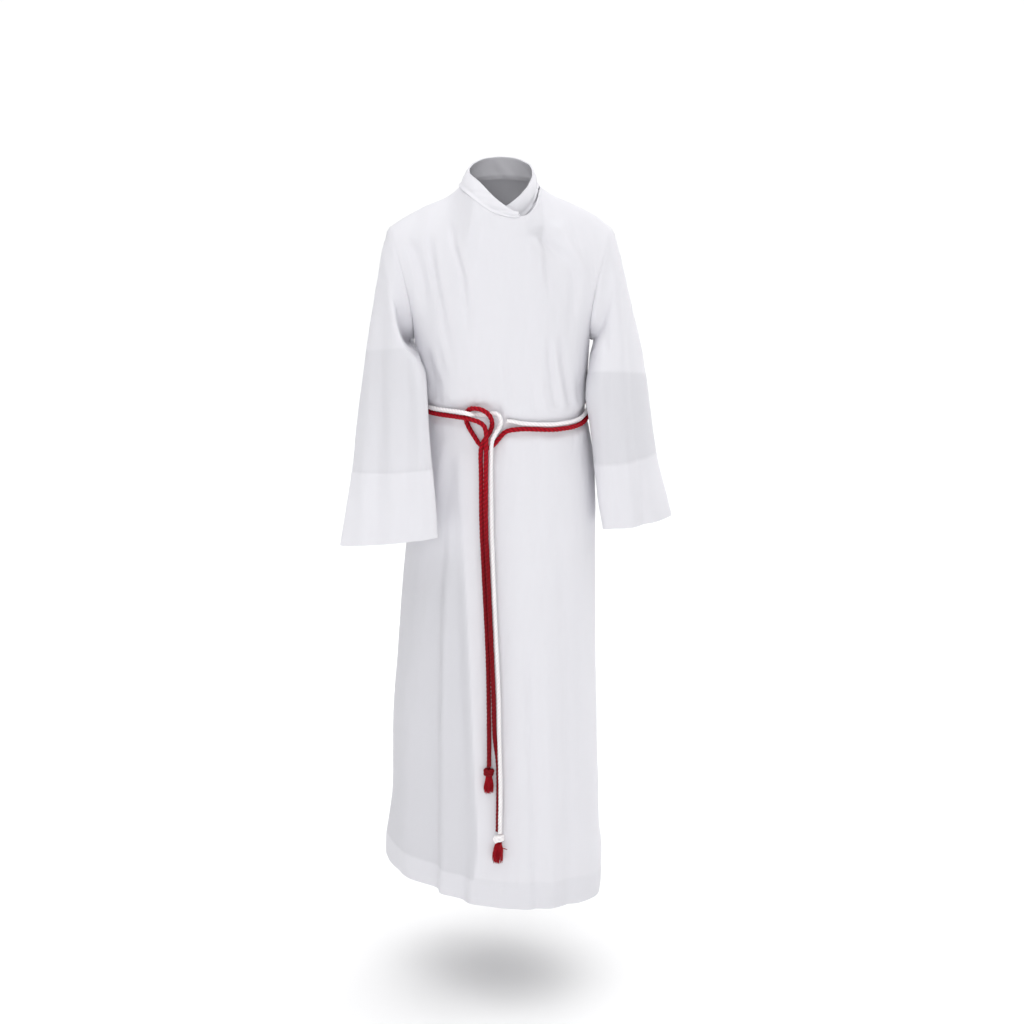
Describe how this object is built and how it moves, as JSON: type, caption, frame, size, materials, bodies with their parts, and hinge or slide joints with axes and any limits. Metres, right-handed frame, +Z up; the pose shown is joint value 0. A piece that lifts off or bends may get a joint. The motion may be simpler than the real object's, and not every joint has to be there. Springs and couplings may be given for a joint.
{
  "type": "alb robe",
  "caption": "Long white youth alb with a front that laps over to the left shoulder, wide cuffed sleeves, a stand collar and a red and white cord cincture.",
  "frame": {"origin": "the middle of the neck base, level with the inner ends of the two shoulder seams, where the robe hangs from the wearer's shoulders", "axes": "+Z up; the wearer would face -Y, with the wearer's left arm towards +X"},
  "size_m": [0.475, 0.297, 1.0964],
  "materials": {
    "white_cloth": "matte, slightly translucent plain weave",
    "red_cord": "twisted cord",
    "white_cord": "twisted cord",
    "red_tassel": "loose threads"
  },
  "bodies": {
    "root": {"front_outer": "white_cloth", "front_under": "white_cloth", "back": "white_cloth", "sleeve_right": "white_cloth", "sleeve_left": "white_cloth", "collar": "white_cloth", "cincture_red": "red_cord", "cincture_white": "white_cord", "knot_upper": "red_cord", "knot_lower": "white_cord", "tassel_upper": "red_tassel", "tassel_lower": "red_tassel"}
  },
  "joints": []
}
